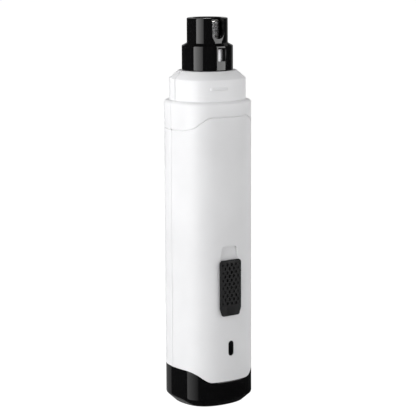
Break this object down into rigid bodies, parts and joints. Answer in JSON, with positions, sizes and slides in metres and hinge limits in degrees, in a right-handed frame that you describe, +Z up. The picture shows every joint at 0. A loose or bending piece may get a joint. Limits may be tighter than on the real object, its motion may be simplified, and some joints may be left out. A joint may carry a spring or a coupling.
{
  "type": "pet nail grinder",
  "caption": "Cordless handheld pet nail trimmer with a slide switch, a motor-driven grinding drum and a pull-off guard with a nail port.",
  "frame": {"origin": "centre of the flat underside of the base cap", "axes": "+Z up along the handle to the guard, -Y out of the front face with the slide switch, X side to side"},
  "size_m": [0.036, 0.0353, 0.168],
  "materials": {
    "shell_white": "satin",
    "gloss_black": "gloss",
    "grip_black": "matte",
    "inner_black": "matte",
    "knob_white": "matte",
    "lens_smoke": "gloss",
    "board_green": "satin",
    "led_yellow": "gloss",
    "cell_wrap": "gloss",
    "lead_red": "satin",
    "lead_black": "satin",
    "damper_rubber": "matte",
    "bright_steel": "satin",
    "lamination_steel": "satin",
    "magnet_dark": "matte",
    "nickel": "satin",
    "brass": "satin",
    "copper": "gloss",
    "bronze": "matte",
    "spigot_silver": "satin",
    "grit": "rough"
  },
  "bodies": {
    "handle": {"front_shell": "shell_white", "rear_shell": "shell_white", "shell_screws": "bright_steel", "base_cap": "gloss_black", "base_screws": "bright_steel", "indicator_lens": "lens_smoke", "circuit_board": "board_green", "board_screws": "bright_steel", "control_chips": "inner_black", "status_led": "led_yellow", "slide_switch_case": "nickel", "charge_socket": "nickel", "battery_cradle": "inner_black", "battery_cell": "cell_wrap", "battery_tab_top": "nickel", "battery_tab_bottom": "nickel", "motor_lead_red": "lead_red", "motor_lead_black": "lead_black", "motor_can": "bright_steel", "motor_end_cap": "inner_black", "motor_terminals": "brass", "motor_magnets": "magnet_dark", "motor_front_bush": "bronze", "motor_rear_bush": "bronze", "motor_bracket": "inner_black", "motor_screws": "bright_steel", "motor_damper_front": "damper_rubber", "motor_damper_rear": "damper_rubber", "nose_spigot": "spigot_silver", "guard_grip_ring": "damper_rubber", "bearing_outer_race": "bright_steel"},
    "spindle": {"motor_shaft": "bright_steel", "armature_core": "lamination_steel", "armature_windings": "copper", "commutator": "brass", "drum_arbor": "bright_steel", "bearing_inner_race": "bright_steel", "bearing_balls": "bright_steel", "drum_core": "inner_black", "abrasive_band": "grit", "drum_washer": "bright_steel", "drum_screw": "bright_steel"},
    "slide_switch": {"switch_button": "grip_black", "switch_carrier": "inner_black", "switch_knob": "knob_white"},
    "guard": {"guard": "gloss_black"}
  },
  "joints": [
    {"name": "spindle_spin", "type": "hinge", "parent": "handle", "child": "spindle", "pos_m": [0, 0, 0.1], "axis": [0, 0, 1], "continuous": true},
    {"name": "switch_slide", "type": "slide", "parent": "handle", "child": "slide_switch", "axis": [0, 0, 1], "range_m": [0, 0.0056]},
    {"name": "guard_pull", "type": "slide", "parent": "handle", "child": "guard", "axis": [0, 0, 1], "range_m": [0, 0.024]}
  ]
}
